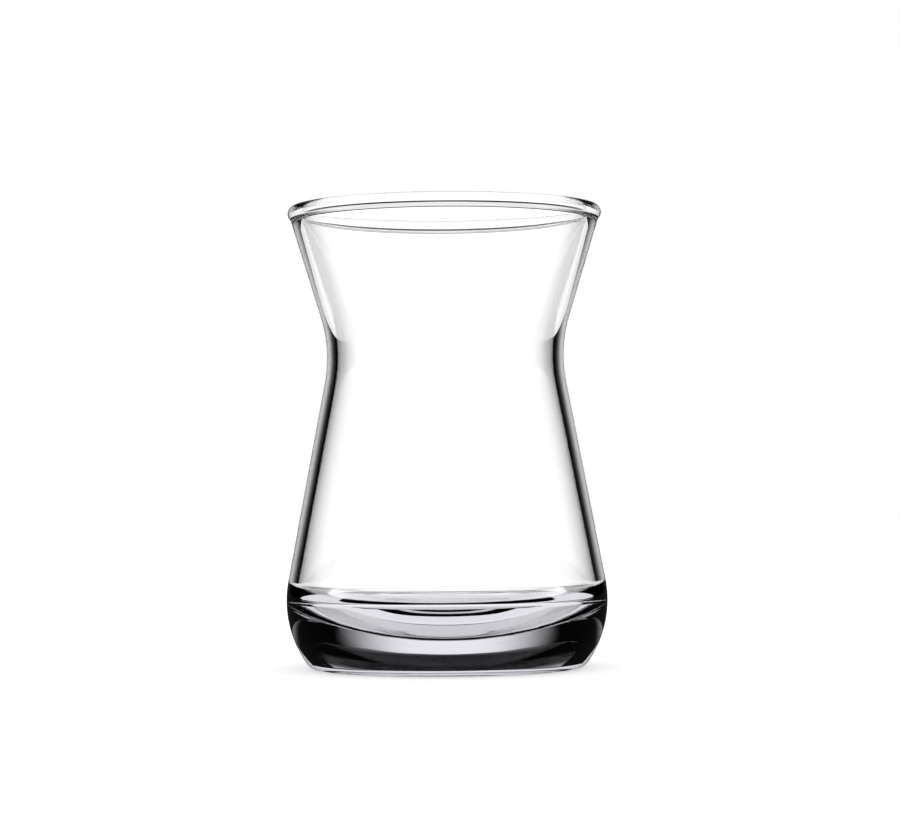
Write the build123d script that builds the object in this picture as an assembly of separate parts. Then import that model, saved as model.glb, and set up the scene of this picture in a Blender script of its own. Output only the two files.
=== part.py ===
from build123d import *
from math import acos, asin, atan2, degrees
import os

# A waisted tea glass in one piece of clear soda-lime glass: a flared bowl on a long
# bell-shaped body, with a rounded rim bead and a thick floor that is hollowed underneath.
# Millimetres, +Z up. The origin is on the axis, on the plane that the glass stands on.
# Radii are measured from the axis and heights from the standing plane. A "corner" is
# where two straight sides would meet, before the bend of the named radius rounds it.

height = 87.0  # standing plane to the top of the rim
rim_radius = 29.55  # the rim bead's widest point
rim_bead = 2.8  # thickness of the bead, which is round in section
rim_step = 0.2  # how far the bead stands out of the wall below it
rim_blend = 1.5  # radius of the hollow between the bead and the wall

waist_height = 60.0  # corner between the flared bowl and the body
waist_radius = 21.55
waist_bend = 26.0

widest_height = 12.8  # where the belly is widest
widest_radius = 30.2
belly_bend = 20.5  # radius of the belly's outline, from the body's side down to the heel
heel_bend = 2.8  # radius of the outline from the belly to the standing ring

wall_rim = 2.0  # wall thickness under the rim, at the waist and at the top of the belly
wall_waist = 2.0
wall_belly = 1.9

floor_thickness = 8.0  # standing plane to the middle of the inside floor
floor_dish = 80.0  # radius of the inside floor, which is slightly dished
floor_bend = 3.6  # bend between the inside floor and the wall

ring_width = 6.0  # standing ring, from its outer edge to the corner of the shallow hollow
ring_bend = 4.0  # bend between the ring and the hollow
hollow_depth = 1.0
hollow_slope = 10.0  # width of the hollow's sloping edge, from that corner to its level roof
hollow_bend = 40.0  # bend between the sloping edge and the roof


def angle_of(direction):
    """The direction's angle from the level line outwards, in radians."""
    return atan2(direction.Y, direction.X)


def inner_side(low, high, wall_low, wall_high):
    """The inside line of a wall, from its outside line and its thickness at each end."""
    inwards = (high - low).normalized().rotate(Axis.Z, 90)
    return low + inwards * wall_low, high + inwards * wall_high


def meet(first, second):
    """The point where two lines cross, each given by two of its points."""
    run, other = first[1] - first[0], second[1] - second[0]
    share = (second[0] - first[0]).cross(other).Z / run.cross(other).Z
    return first[0] + run * share


def entry(line, centre, radius):
    """Where a line, followed from its first point to its second, enters a circle."""
    run = (line[1] - line[0]).normalized()
    start = line[0] - centre
    along = start.dot(run)
    return line[0] - run * (along + (along**2 - start.length**2 + radius**2) ** 0.5)


bead_radius = rim_bead / 2
bead_centre = Vector(rim_radius - bead_radius, height - bead_radius)
rim = Vector(rim_radius - rim_step, bead_centre.Y)
waist = Vector(waist_radius, waist_height)

# The belly's circle is tangent to the body's side, which runs up to the waist's corner. The
# heel's circle lies inside it and is tangent to it and to the standing plane.
belly_centre = Vector(widest_radius - belly_bend, widest_height)
to_waist = waist - belly_centre
side_angle = angle_of(to_waist) - acos(belly_bend / to_waist.length)
heel_drop = belly_centre.Y - heel_bend
heel_reach = ((belly_bend - heel_bend) ** 2 - heel_drop**2) ** 0.5
ring_edge = Vector(belly_centre.X + heel_reach, 0)
heel_angle = angle_of(Vector(heel_reach, -heel_drop))
hollow_radius = ring_edge.X - ring_width
hollow_roof = hollow_radius - hollow_slope
belly_top = belly_centre + Vector(belly_bend, 0).rotate(Axis.Z, degrees(side_angle))

bowl_inside = inner_side(waist, rim, wall_waist, wall_rim)
body_inside = inner_side(belly_top, waist, wall_belly, wall_waist)
inner_waist = meet(body_inside, bowl_inside)
inner_corner = entry(body_inside, Vector(0, floor_thickness + floor_dish), floor_dish)

with BuildPart() as glass:
    with BuildSketch(Plane.XZ) as section:
        with BuildLine():
            under = FilletPolyline(
                (0, hollow_depth), (hollow_roof, hollow_depth), (hollow_radius, 0), ring_edge,
                radius=[hollow_bend, ring_bend],
            )
            heel = JernArc(under @ 1, under % 1, heel_bend, 90 + degrees(heel_angle))
            belly = JernArc(heel @ 1, heel % 1, belly_bend, degrees(side_angle - heel_angle))
            side = FilletPolyline(belly @ 1, waist, rim, radius=waist_bend)
            inside = FilletPolyline(
                bowl_inside[1], inner_waist, inner_corner, radius=waist_bend + wall_waist
            )
            floor_span = degrees(asin(inner_corner.X / floor_dish))
            floor = JernArc((0, floor_thickness), (1, 0), floor_dish, floor_span)
            Line(side @ 1, inside @ 0)
            Line(floor @ 0, under @ 0)
        make_face()
        fillet(section.vertices().sort_by_distance(inner_corner)[0], radius=floor_bend)
        with Locations(bead_centre):
            Circle(bead_radius)
        bead_joints = section.vertices().filter_by(
            lambda v: height - rim_bead < v.Y < bead_centre.Y
        )
        fillet(bead_joints, radius=rim_blend)
    revolve(axis=Axis.Z)

os.makedirs("parts", exist_ok=True)
export_step(glass.part, "parts/glass.step")

print("glass volume", round(glass.part.volume), "mm3, weight", round(glass.part.volume * 2.5e-3), "g")
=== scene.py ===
import bpy
import math
from mathutils import Matrix, Vector


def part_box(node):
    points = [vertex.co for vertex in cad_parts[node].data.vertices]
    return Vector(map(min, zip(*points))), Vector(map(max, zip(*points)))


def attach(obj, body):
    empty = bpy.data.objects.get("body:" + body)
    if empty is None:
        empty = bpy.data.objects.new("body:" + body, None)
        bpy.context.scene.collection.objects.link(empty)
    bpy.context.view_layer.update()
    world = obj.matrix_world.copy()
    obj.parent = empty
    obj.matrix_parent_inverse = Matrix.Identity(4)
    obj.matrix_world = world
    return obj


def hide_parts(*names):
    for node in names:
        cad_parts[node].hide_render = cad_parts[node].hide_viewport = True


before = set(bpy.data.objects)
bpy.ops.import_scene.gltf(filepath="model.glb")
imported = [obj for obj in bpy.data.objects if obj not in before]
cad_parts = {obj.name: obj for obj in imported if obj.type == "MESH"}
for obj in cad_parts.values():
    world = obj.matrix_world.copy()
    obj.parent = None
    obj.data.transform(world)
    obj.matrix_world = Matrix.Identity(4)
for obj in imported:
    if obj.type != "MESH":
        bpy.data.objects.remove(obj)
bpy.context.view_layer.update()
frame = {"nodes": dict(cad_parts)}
print("frame loaded:", ", ".join(frame["nodes"]))

mm = 0.001


def linearColour(hexCode):
    parts = [int(hexCode[i:i + 2], 16) / 255 for i in (1, 3, 5)]
    return [p / 12.92 if p <= 0.04045 else ((p + 0.055) / 1.055) ** 2.4 for p in parts] + [1.0]


def addNode(tree, kind, inputs={}, **settings):
    node = tree.nodes.new(kind)
    for name, value in settings.items():
        setattr(node, name, value)
    for socket, value in inputs.items():
        if isinstance(value, bpy.types.NodeSocket):
            tree.links.new(value, node.inputs[socket])
        else:
            node.inputs[socket].default_value = value
    return node


# The outline of the glass runs from the hollow underneath, round the rim, to the inside floor.

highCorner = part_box("glass")[1]

glass = {  # millimetres; a corner is where two straight sides would meet before its bend
    "height": highCorner[2] / mm,
    "widestRadius": min(highCorner[:2]) / mm,
    "rimRadius": 29.55,
    "rimBead": 2.8,
    "rimStep": 0.2,
    "rimBlend": 1.5,
    "waistHeight": 60.0,
    "waistRadius": 21.55,
    "waistBend": 26.0,
    "widestHeight": 12.8,
    "bellyBend": 20.5,
    "heelBend": 2.8,
    "wallRim": 2.0,
    "wallWaist": 2.0,
    "wallBelly": 1.9,
    "floorThickness": 8.0,
    "floorDish": 80.0,
    "floorBend": 3.6,
    "ringWidth": 6.0,
    "ringBend": 4.0,
    "hollowDepth": 1.0,
    "hollowSlope": 10.0,
    "hollowBend": 40.0,
    "arcStep": 3.0,  # degrees between points on a bend
    "lineStep": 2.0,  # longest run between points
    "turnSteps": 256,  # steps round the axis
    "weld": 0.002,  # points closer than this become one, at the seam and the poles
}


def arcPoints(centre, start, end):
    first, last = start - centre, end - centre
    turn = first.angle_signed(last)  # Blender's signed angle is clockwise
    count = max(3, math.ceil(abs(math.degrees(turn)) / glass["arcStep"]))
    return [centre + Matrix.Rotation(-turn * k / count, 2) @ first for k in range(count + 1)]


def roundedPath(corners, bends):
    path = [corners[0]]
    for before, corner, after, bend in zip(corners, corners[1:], corners[2:], bends):
        back, forward = (before - corner).normalized(), (after - corner).normalized()
        half = back.angle(forward) / 2
        reach = bend / math.tan(half)
        centre = corner + (back + forward).normalized() * (bend / math.sin(half))
        path += arcPoints(centre, corner + back * reach, corner + forward * reach)
    return path + [corners[-1]]


def innerSide(low, high, wallLow, wallHigh):
    run = (high - low).normalized()
    inwards = Vector((-run.y, run.x))
    return low + inwards * wallLow, high + inwards * wallHigh


def crossing(first, second):
    run, other = first[1] - first[0], second[1] - second[0]
    return first[0] + run * ((second[0] - first[0]).cross(other) / run.cross(other))


def beadJoint(low, high, centre, bead, blend, side):
    # a bend of the blend's radius touches the wall's line and the bead's circle from outside
    run = (high - low).normalized()
    outwards = Vector((run.y, -run.x)) * side
    base = low + outwards * blend
    along = (base - centre).dot(run)
    reach = math.sqrt(along ** 2 - (base - centre).length_squared + (bead + blend) ** 2)
    middle = base - run * (along + reach)
    return middle, middle - outwards * blend, centre + (middle - centre).normalized() * bead


def floorJoint(low, high, centre, dish, bend):
    # the bend touches the wall's inside line, and the dished floor's circle from inside
    run = (high - low).normalized()
    base = low + Vector((-run.y, run.x)) * bend
    along = (base - centre).dot(run)
    reach = math.sqrt(along ** 2 - (base - centre).length_squared + (dish - bend) ** 2)
    middle = base - run * (along + reach)
    wallEnd = middle - Vector((-run.y, run.x)) * bend
    return middle, wallEnd, centre + (middle - centre).normalized() * dish


def glassOutline():
    g = glass
    bead = g["rimBead"] / 2
    beadCentre = Vector((g["rimRadius"] - bead, g["height"] - bead))
    rim = Vector((g["rimRadius"] - g["rimStep"], beadCentre.y))
    waist = Vector((g["waistRadius"], g["waistHeight"]))

    bellyCentre = Vector((g["widestRadius"] - g["bellyBend"], g["widestHeight"]))
    heelGap = g["bellyBend"] - g["heelBend"]
    heelDrop = g["widestHeight"] - g["heelBend"]
    heelCentre = bellyCentre + Vector((math.sqrt(heelGap ** 2 - heelDrop ** 2), -heelDrop))
    ringEdge = Vector((heelCentre.x, 0))
    heelEnd = bellyCentre + (heelCentre - bellyCentre) / heelGap * g["bellyBend"]
    toWaist = waist - bellyCentre
    sideAngle = math.atan2(toWaist.y, toWaist.x) - math.acos(g["bellyBend"] / toWaist.length)
    bellyTop = bellyCentre + Matrix.Rotation(sideAngle, 2) @ Vector((g["bellyBend"], 0))

    bowl = innerSide(waist, rim, g["wallWaist"], g["wallRim"])
    body = innerSide(bellyTop, waist, g["wallBelly"], g["wallWaist"])
    floorCentre = Vector((0, g["floorThickness"] + g["floorDish"]))
    corner = floorJoint(*body, floorCentre, g["floorDish"], g["floorBend"])
    outer = beadJoint(waist, rim, beadCentre, bead, g["rimBlend"], 1)
    inner = beadJoint(*bowl, beadCentre, bead, g["rimBlend"], -1)
    top = beadCentre + Vector((0, bead))

    hollowEdge = ringEdge.x - g["ringWidth"]
    under = [Vector((0, g["hollowDepth"])),
             Vector((hollowEdge - g["hollowSlope"], g["hollowDepth"])),
             Vector((hollowEdge, 0)), ringEdge]
    inside = [inner[1], crossing(body, bowl), corner[1]]
    runs = [
        roundedPath(under, [g["hollowBend"], g["ringBend"]]),
        arcPoints(heelCentre, ringEdge, heelEnd),
        arcPoints(bellyCentre, heelEnd, bellyTop),
        roundedPath([bellyTop, waist, outer[1]], [g["waistBend"]]),
        arcPoints(*outer),
        arcPoints(beadCentre, outer[2], top),
        arcPoints(beadCentre, top, inner[2]),
        arcPoints(inner[0], inner[2], inner[1]),
        roundedPath(inside, [g["waistBend"] + g["wallWaist"]]),
        arcPoints(*corner),
        arcPoints(floorCentre, corner[2], Vector((0, g["floorThickness"]))),
    ]
    points = [runs[0][0]]
    for point in (p for run in runs for p in run):
        gap = (point - points[-1]).length
        if gap > 0.001:
            count = math.ceil(gap / g["lineStep"])
            points += [points[-1].lerp(point, k / count) for k in range(1, count + 1)]
    return points


def outlineMesh():
    points = glassOutline()
    mesh = bpy.data.meshes.new("glassOutline")
    edges = [(i, i + 1) for i in range(len(points) - 1)]
    mesh.from_pydata([(p.x * mm, 0, p.y * mm) for p in points], edges, [])
    return mesh


def latheTree():
    # turns an outline in the XZ plane about Z: a grid has a column for each step of the turn
    tree = bpy.data.node_groups.new("lathe", "GeometryNodeTree")
    face = tree.interface
    face.new_socket("Outline", in_out="INPUT", socket_type="NodeSocketGeometry")
    face.new_socket("Turn Steps", in_out="INPUT", socket_type="NodeSocketInt")
    face.new_socket("Weld Distance", in_out="INPUT", socket_type="NodeSocketFloat")
    face.new_socket("Finish", in_out="INPUT", socket_type="NodeSocketMaterial")
    face.new_socket("Turned", in_out="OUTPUT", socket_type="NodeSocketGeometry")
    given = addNode(tree, "NodeGroupInput").outputs
    size = addNode(tree, "GeometryNodeAttributeDomainSize", {0: given["Outline"]}, component="MESH")
    rings = size.outputs["Point Count"]
    columns = addNode(tree, "ShaderNodeMath", {0: given["Turn Steps"], 1: 1.0}).outputs[0]
    grid = addNode(tree, "GeometryNodeMeshGrid", {"Vertices X": columns, "Vertices Y": rings})
    index = addNode(tree, "GeometryNodeInputIndex").outputs[0]
    place = addNode(tree, "GeometryNodeInputPosition").outputs[0]
    ring = addNode(tree, "ShaderNodeMath", {0: index, 1: rings}, operation="MODULO").outputs[0]
    ratio = addNode(tree, "ShaderNodeMath", {0: index, 1: rings}, operation="DIVIDE").outputs[0]
    step = addNode(tree, "ShaderNodeMath", {0: ratio}, operation="FLOOR").outputs[0]
    share = addNode(tree, "ShaderNodeMath", {0: step, 1: given["Turn Steps"]},
                    operation="DIVIDE").outputs[0]
    angle = addNode(tree, "ShaderNodeMath", {0: share, 1: math.tau}, operation="MULTIPLY").outputs[0]
    point = addNode(tree, "GeometryNodeSampleIndex",
                    {"Geometry": given["Outline"], "Value": place, "Index": ring},
                    data_type="FLOAT_VECTOR")
    turned = addNode(tree, "ShaderNodeVectorRotate",
                     {"Vector": point.outputs["Value"], "Axis": (0, 0, 1), "Angle": angle})
    shaped = addNode(tree, "GeometryNodeSetPosition",
                     {"Geometry": grid.outputs["Mesh"], "Position": turned.outputs[0]})
    welded = addNode(tree, "GeometryNodeMergeByDistance",
                     {"Geometry": shaped.outputs[0], "Distance": given["Weld Distance"]})
    smooth = addNode(tree, "GeometryNodeSetShadeSmooth", {"Geometry": welded.outputs[0]})
    realized = addNode(tree, "GeometryNodeRealizeInstances", {"Geometry": smooth.outputs[0]})
    finished = addNode(tree, "GeometryNodeSetMaterial",
                       {"Geometry": realized.outputs[0], "Material": given["Finish"]})
    addNode(tree, "NodeGroupOutput", {"Turned": finished.outputs[0]})
    return tree


# Clear soda-lime glass, pressed and blown and then fire-polished: every face is glossy and bends
# light, the walls look clear, and the thick floor shows a trace of grey-violet. The depth takes
# more light than real clear glass does.

glassFinish = {
    "ior": 1.52,
    "wall": "#FDFDFD",
    "floor": "#F4F3F7",
    "tintTop": 14.0,  # mm above the standing plane where the tint has gone
    "depthColour": "#F8F8F9",  # what one depth step of it leaves of white light
    "depthStep": 10.0,  # mm
    "waveLength": 22.0,  # mm between the slow waves that blowing leaves
    "waveHeight": 0.004,  # mm
}


def glassMaterial():
    f = glassFinish
    material = bpy.data.materials.new("firePolishedSodaLimeGlass")
    material.use_nodes = True
    tree = material.node_tree
    tree.nodes.clear()
    coords = addNode(tree, "ShaderNodeTexCoord").outputs["Object"]
    height = addNode(tree, "ShaderNodeSeparateXYZ", {0: coords}).outputs["Z"]
    rise = addNode(tree, "ShaderNodeMapRange",
                   {"Value": height, "From Min": 0.0, "From Max": f["tintTop"] * mm},
                   interpolation_type="SMOOTHSTEP").outputs["Result"]
    tint = addNode(tree, "ShaderNodeMix",
                   {0: rise, 6: linearColour(f["floor"]), 7: linearColour(f["wall"])},
                   data_type="RGBA")
    waves = addNode(tree, "ShaderNodeTexNoise",
                    {"Vector": coords, "Scale": 1 / (f["waveLength"] * mm), "Detail": 1.0})
    bump = addNode(tree, "ShaderNodeBump",
                   {"Strength": 1.0, "Distance": f["waveHeight"] * mm, "Height": waves.outputs[0]})
    shader = addNode(tree, "ShaderNodeBsdfPrincipled",
                     {"Base Color": tint.outputs[2], "Roughness": 0.0, "IOR": f["ior"],
                      "Transmission Weight": 1.0, "Normal": bump.outputs[0]})
    depth = addNode(tree, "ShaderNodeVolumeAbsorption",
                    {"Color": linearColour(f["depthColour"]), "Density": 1 / (f["depthStep"] * mm)})
    addNode(tree, "ShaderNodeOutputMaterial",
            {"Surface": shader.outputs[0], "Volume": depth.outputs[0]})
    return material


def makeGlass():
    raw = bpy.data.objects.new("outline", outlineMesh())
    bpy.context.scene.collection.objects.link(raw)
    tree = latheTree()
    modifier = raw.modifiers.new("lathe", "NODES")
    modifier.node_group = tree
    socket = {s.name: s.identifier for s in tree.interface.items_tree if s.in_out == "INPUT"}
    modifier[socket["Turn Steps"]] = glass["turnSteps"]
    modifier[socket["Weld Distance"]] = glass["weld"] * mm
    modifier[socket["Finish"]] = glassMaterial()
    graph = bpy.context.evaluated_depsgraph_get()
    mesh = bpy.data.meshes.new_from_object(raw.evaluated_get(graph))
    bpy.data.objects.remove(raw)
    mesh.name = "teaGlass"
    piece = bpy.data.objects.new("teaGlass", mesh)
    bpy.context.scene.collection.objects.link(piece)
    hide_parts("glass")
    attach(piece, "root")
    print("glass turned:", len(mesh.vertices), "points")


makeGlass()

# A pale floor that goes white to the camera, with the glass's soft shadow left on it. Rays that
# pass through the glass see it white too, but darker under the glass, where a shadow is painted
# into it, and faces that only mirror it see it dim.
floor = {
    "reach": 1.5,  # metres from the axis to the floor's edge
    "drop": 0.1,  # mm, so that it is clear of the standing ring
    "colour": "#F2F2F2",
    "lift": 0.4,  # light added so that the open floor is white
    "throughGlass": 1.25,
    # painted shadow: the floor that rays through the glass see is this dark under the glass, set by distance
    # from the axis alone
    "paintedShadowUnderGlass": 0.7,
    "paintedShadowEdge": (18.0, 26.0),  # mm from the axis, where the painted shadow begins to fade and ends
    "mirrored": 0.02,
}


def floorMaterial():
    f = floor
    material = bpy.data.materials.new("matteWhiteFloor")
    material.use_nodes = True
    tree = material.node_tree
    tree.nodes.clear()
    place = addNode(tree, "ShaderNodeTexCoord").outputs["Object"]
    fromAxis = addNode(tree, "ShaderNodeVectorMath", {0: place}, operation="LENGTH").outputs["Value"]
    # painted shadow: what rays through the glass see of the floor darkens towards the axis, under the glass
    throughGlassPaintedShadow = addNode(tree, "ShaderNodeMapRange",
                    {"Value": fromAxis, "From Min": f["paintedShadowEdge"][0] * mm,
                     "From Max": f["paintedShadowEdge"][1] * mm, "To Min": f["paintedShadowUnderGlass"],
                     "To Max": f["throughGlass"]}, interpolation_type="SMOOTHSTEP").outputs["Result"]
    ray = addNode(tree, "ShaderNodeLightPath").outputs
    matte = addNode(tree, "ShaderNodeBsdfDiffuse", {"Color": linearColour(f["colour"])}).outputs[0]
    lift = addNode(tree, "ShaderNodeEmission", {"Strength": f["lift"]}).outputs[0]
    openFloor = addNode(tree, "ShaderNodeAddShader", {0: matte, 1: lift}).outputs[0]
    behindPaintedShadow = addNode(tree, "ShaderNodeEmission", {"Strength": throughGlassPaintedShadow}).outputs[0]
    dim = addNode(tree, "ShaderNodeEmission", {"Strength": f["mirrored"]}).outputs[0]
    bounced = addNode(tree, "ShaderNodeMixShader",
                      {0: ray["Is Glossy Ray"], 1: matte, 2: dim}).outputs[0]
    passed = addNode(tree, "ShaderNodeMixShader",
                     {0: ray["Is Transmission Ray"], 1: bounced, 2: behindPaintedShadow}).outputs[0]
    seen = addNode(tree, "ShaderNodeMixShader",
                   {0: ray["Is Camera Ray"], 1: passed, 2: openFloor}).outputs[0]
    addNode(tree, "ShaderNodeOutputMaterial", {"Surface": seen})
    return material


def makeFloor():
    r = floor["reach"]
    mesh = bpy.data.meshes.new("floor")
    mesh.from_pydata([(-r, -r, 0), (r, -r, 0), (r, r, 0), (-r, r, 0)], [], [(0, 1, 2, 3)])
    mesh.materials.append(floorMaterial())
    piece = bpy.data.objects.new("floor", mesh)
    piece.location.z = -floor["drop"] * mm
    bpy.context.scene.collection.objects.link(piece)
    print("floor laid")


makeFloor()

# The studio is plain white to the camera. Through the glass it is a room with a white window in
# the middle of each wall, dark corners, a dark gap above the windows, and light from overhead. Each
# line of edges is an angle in degrees, how far the light fades either way from it, and the light
# beyond it.
studio = {
    "window": 1.3,
    "windowTurn": 90.0,  # degrees from one window to the next
    "windowSide": (19.0, 13.0, 0.0),  # round from the middle of a window
    "windowTop": (12.0, 1.5, 0.0),  # up from the horizon
    "overhead": (20.0, 1.5, 0.95),
    "mirrored": 0.05,  # share of it that a face which only mirrors shows
}


def makeStudio():
    s = studio
    world = bpy.data.worlds.new("studio")
    bpy.context.scene.world = world
    world.use_nodes = True
    tree = world.node_tree
    tree.nodes.clear()
    direction = addNode(tree, "ShaderNodeTexCoord").outputs["Generated"]
    axes = addNode(tree, "ShaderNodeSeparateXYZ", {0: direction}).outputs
    turn = addNode(tree, "ShaderNodeMath", {0: axes["X"], 1: axes["Y"]}, operation="ARCTAN2").outputs[0]
    aside = addNode(tree, "ShaderNodeMath", {0: turn, 1: math.radians(s["windowTurn"] / 2)},
                    operation="PINGPONG").outputs[0]  # from the nearest window's middle
    rise = addNode(tree, "ShaderNodeMath", {0: axes["Z"]}, operation="ARCSINE").outputs[0]

    room = s["window"]
    for angle, name in ((aside, "windowSide"), (rise, "windowTop"), (rise, "overhead")):
        limit, fade, beyond = s[name]
        room = addNode(tree, "ShaderNodeMapRange",
                       {"Value": angle, "From Min": math.radians(limit - fade),
                        "From Max": math.radians(limit + fade), "To Min": room, "To Max": beyond},
                       interpolation_type="SMOOTHSTEP").outputs["Result"]

    ray = addNode(tree, "ShaderNodeLightPath").outputs
    onlyMirrored = addNode(tree, "ShaderNodeMath",
                           {0: ray["Is Glossy Ray"], 1: ray["Is Transmission Ray"]},
                           operation="SUBTRACT").outputs[0]
    dimmed = addNode(tree, "ShaderNodeMath", {0: room, 1: s["mirrored"]},
                     operation="MULTIPLY").outputs[0]
    indoors = addNode(tree, "ShaderNodeMix", {0: onlyMirrored, 2: room, 3: dimmed}).outputs[0]
    strength = addNode(tree, "ShaderNodeMix", {0: ray["Is Camera Ray"], 2: indoors, 3: 1.0}).outputs[0]
    glow = addNode(tree, "ShaderNodeBackground",
                   {"Color": (1, 1, 1, 1), "Strength": strength}).outputs[0]
    addNode(tree, "ShaderNodeOutputWorld", {"Surface": glow})
    print("studio lit")


makeStudio()

camera = {
    "distance": 530.0,  # mm from the axis
    "aside": 0.8,  # mm to the right
    "height": 35.3,  # mm above the floor
    "lens": 112.4,  # mm, on a sensor 36 mm wide
    "pitch": 1.275,  # degrees up
    "roll": -0.43,  # degrees
    "clipStart": 0.01,  # metres
}


def makeCamera():
    c = camera
    data = bpy.data.cameras.new("camera")
    data.lens = c["lens"]
    data.clip_start = c["clipStart"]
    body = bpy.data.objects.new("camera", data)
    bpy.context.scene.collection.objects.link(body)
    place = Vector((c["aside"], -c["distance"], c["height"])) * mm
    upright = Matrix.Rotation(math.radians(90 + c["pitch"]), 4, "X")
    body.matrix_world = Matrix.Translation(place) @ upright @ Matrix.Rotation(math.radians(c["roll"]), 4, "Z")
    bpy.context.scene.camera = body
    print("camera placed")


makeCamera()
bpy.context.scene.view_settings.view_transform = "Standard"
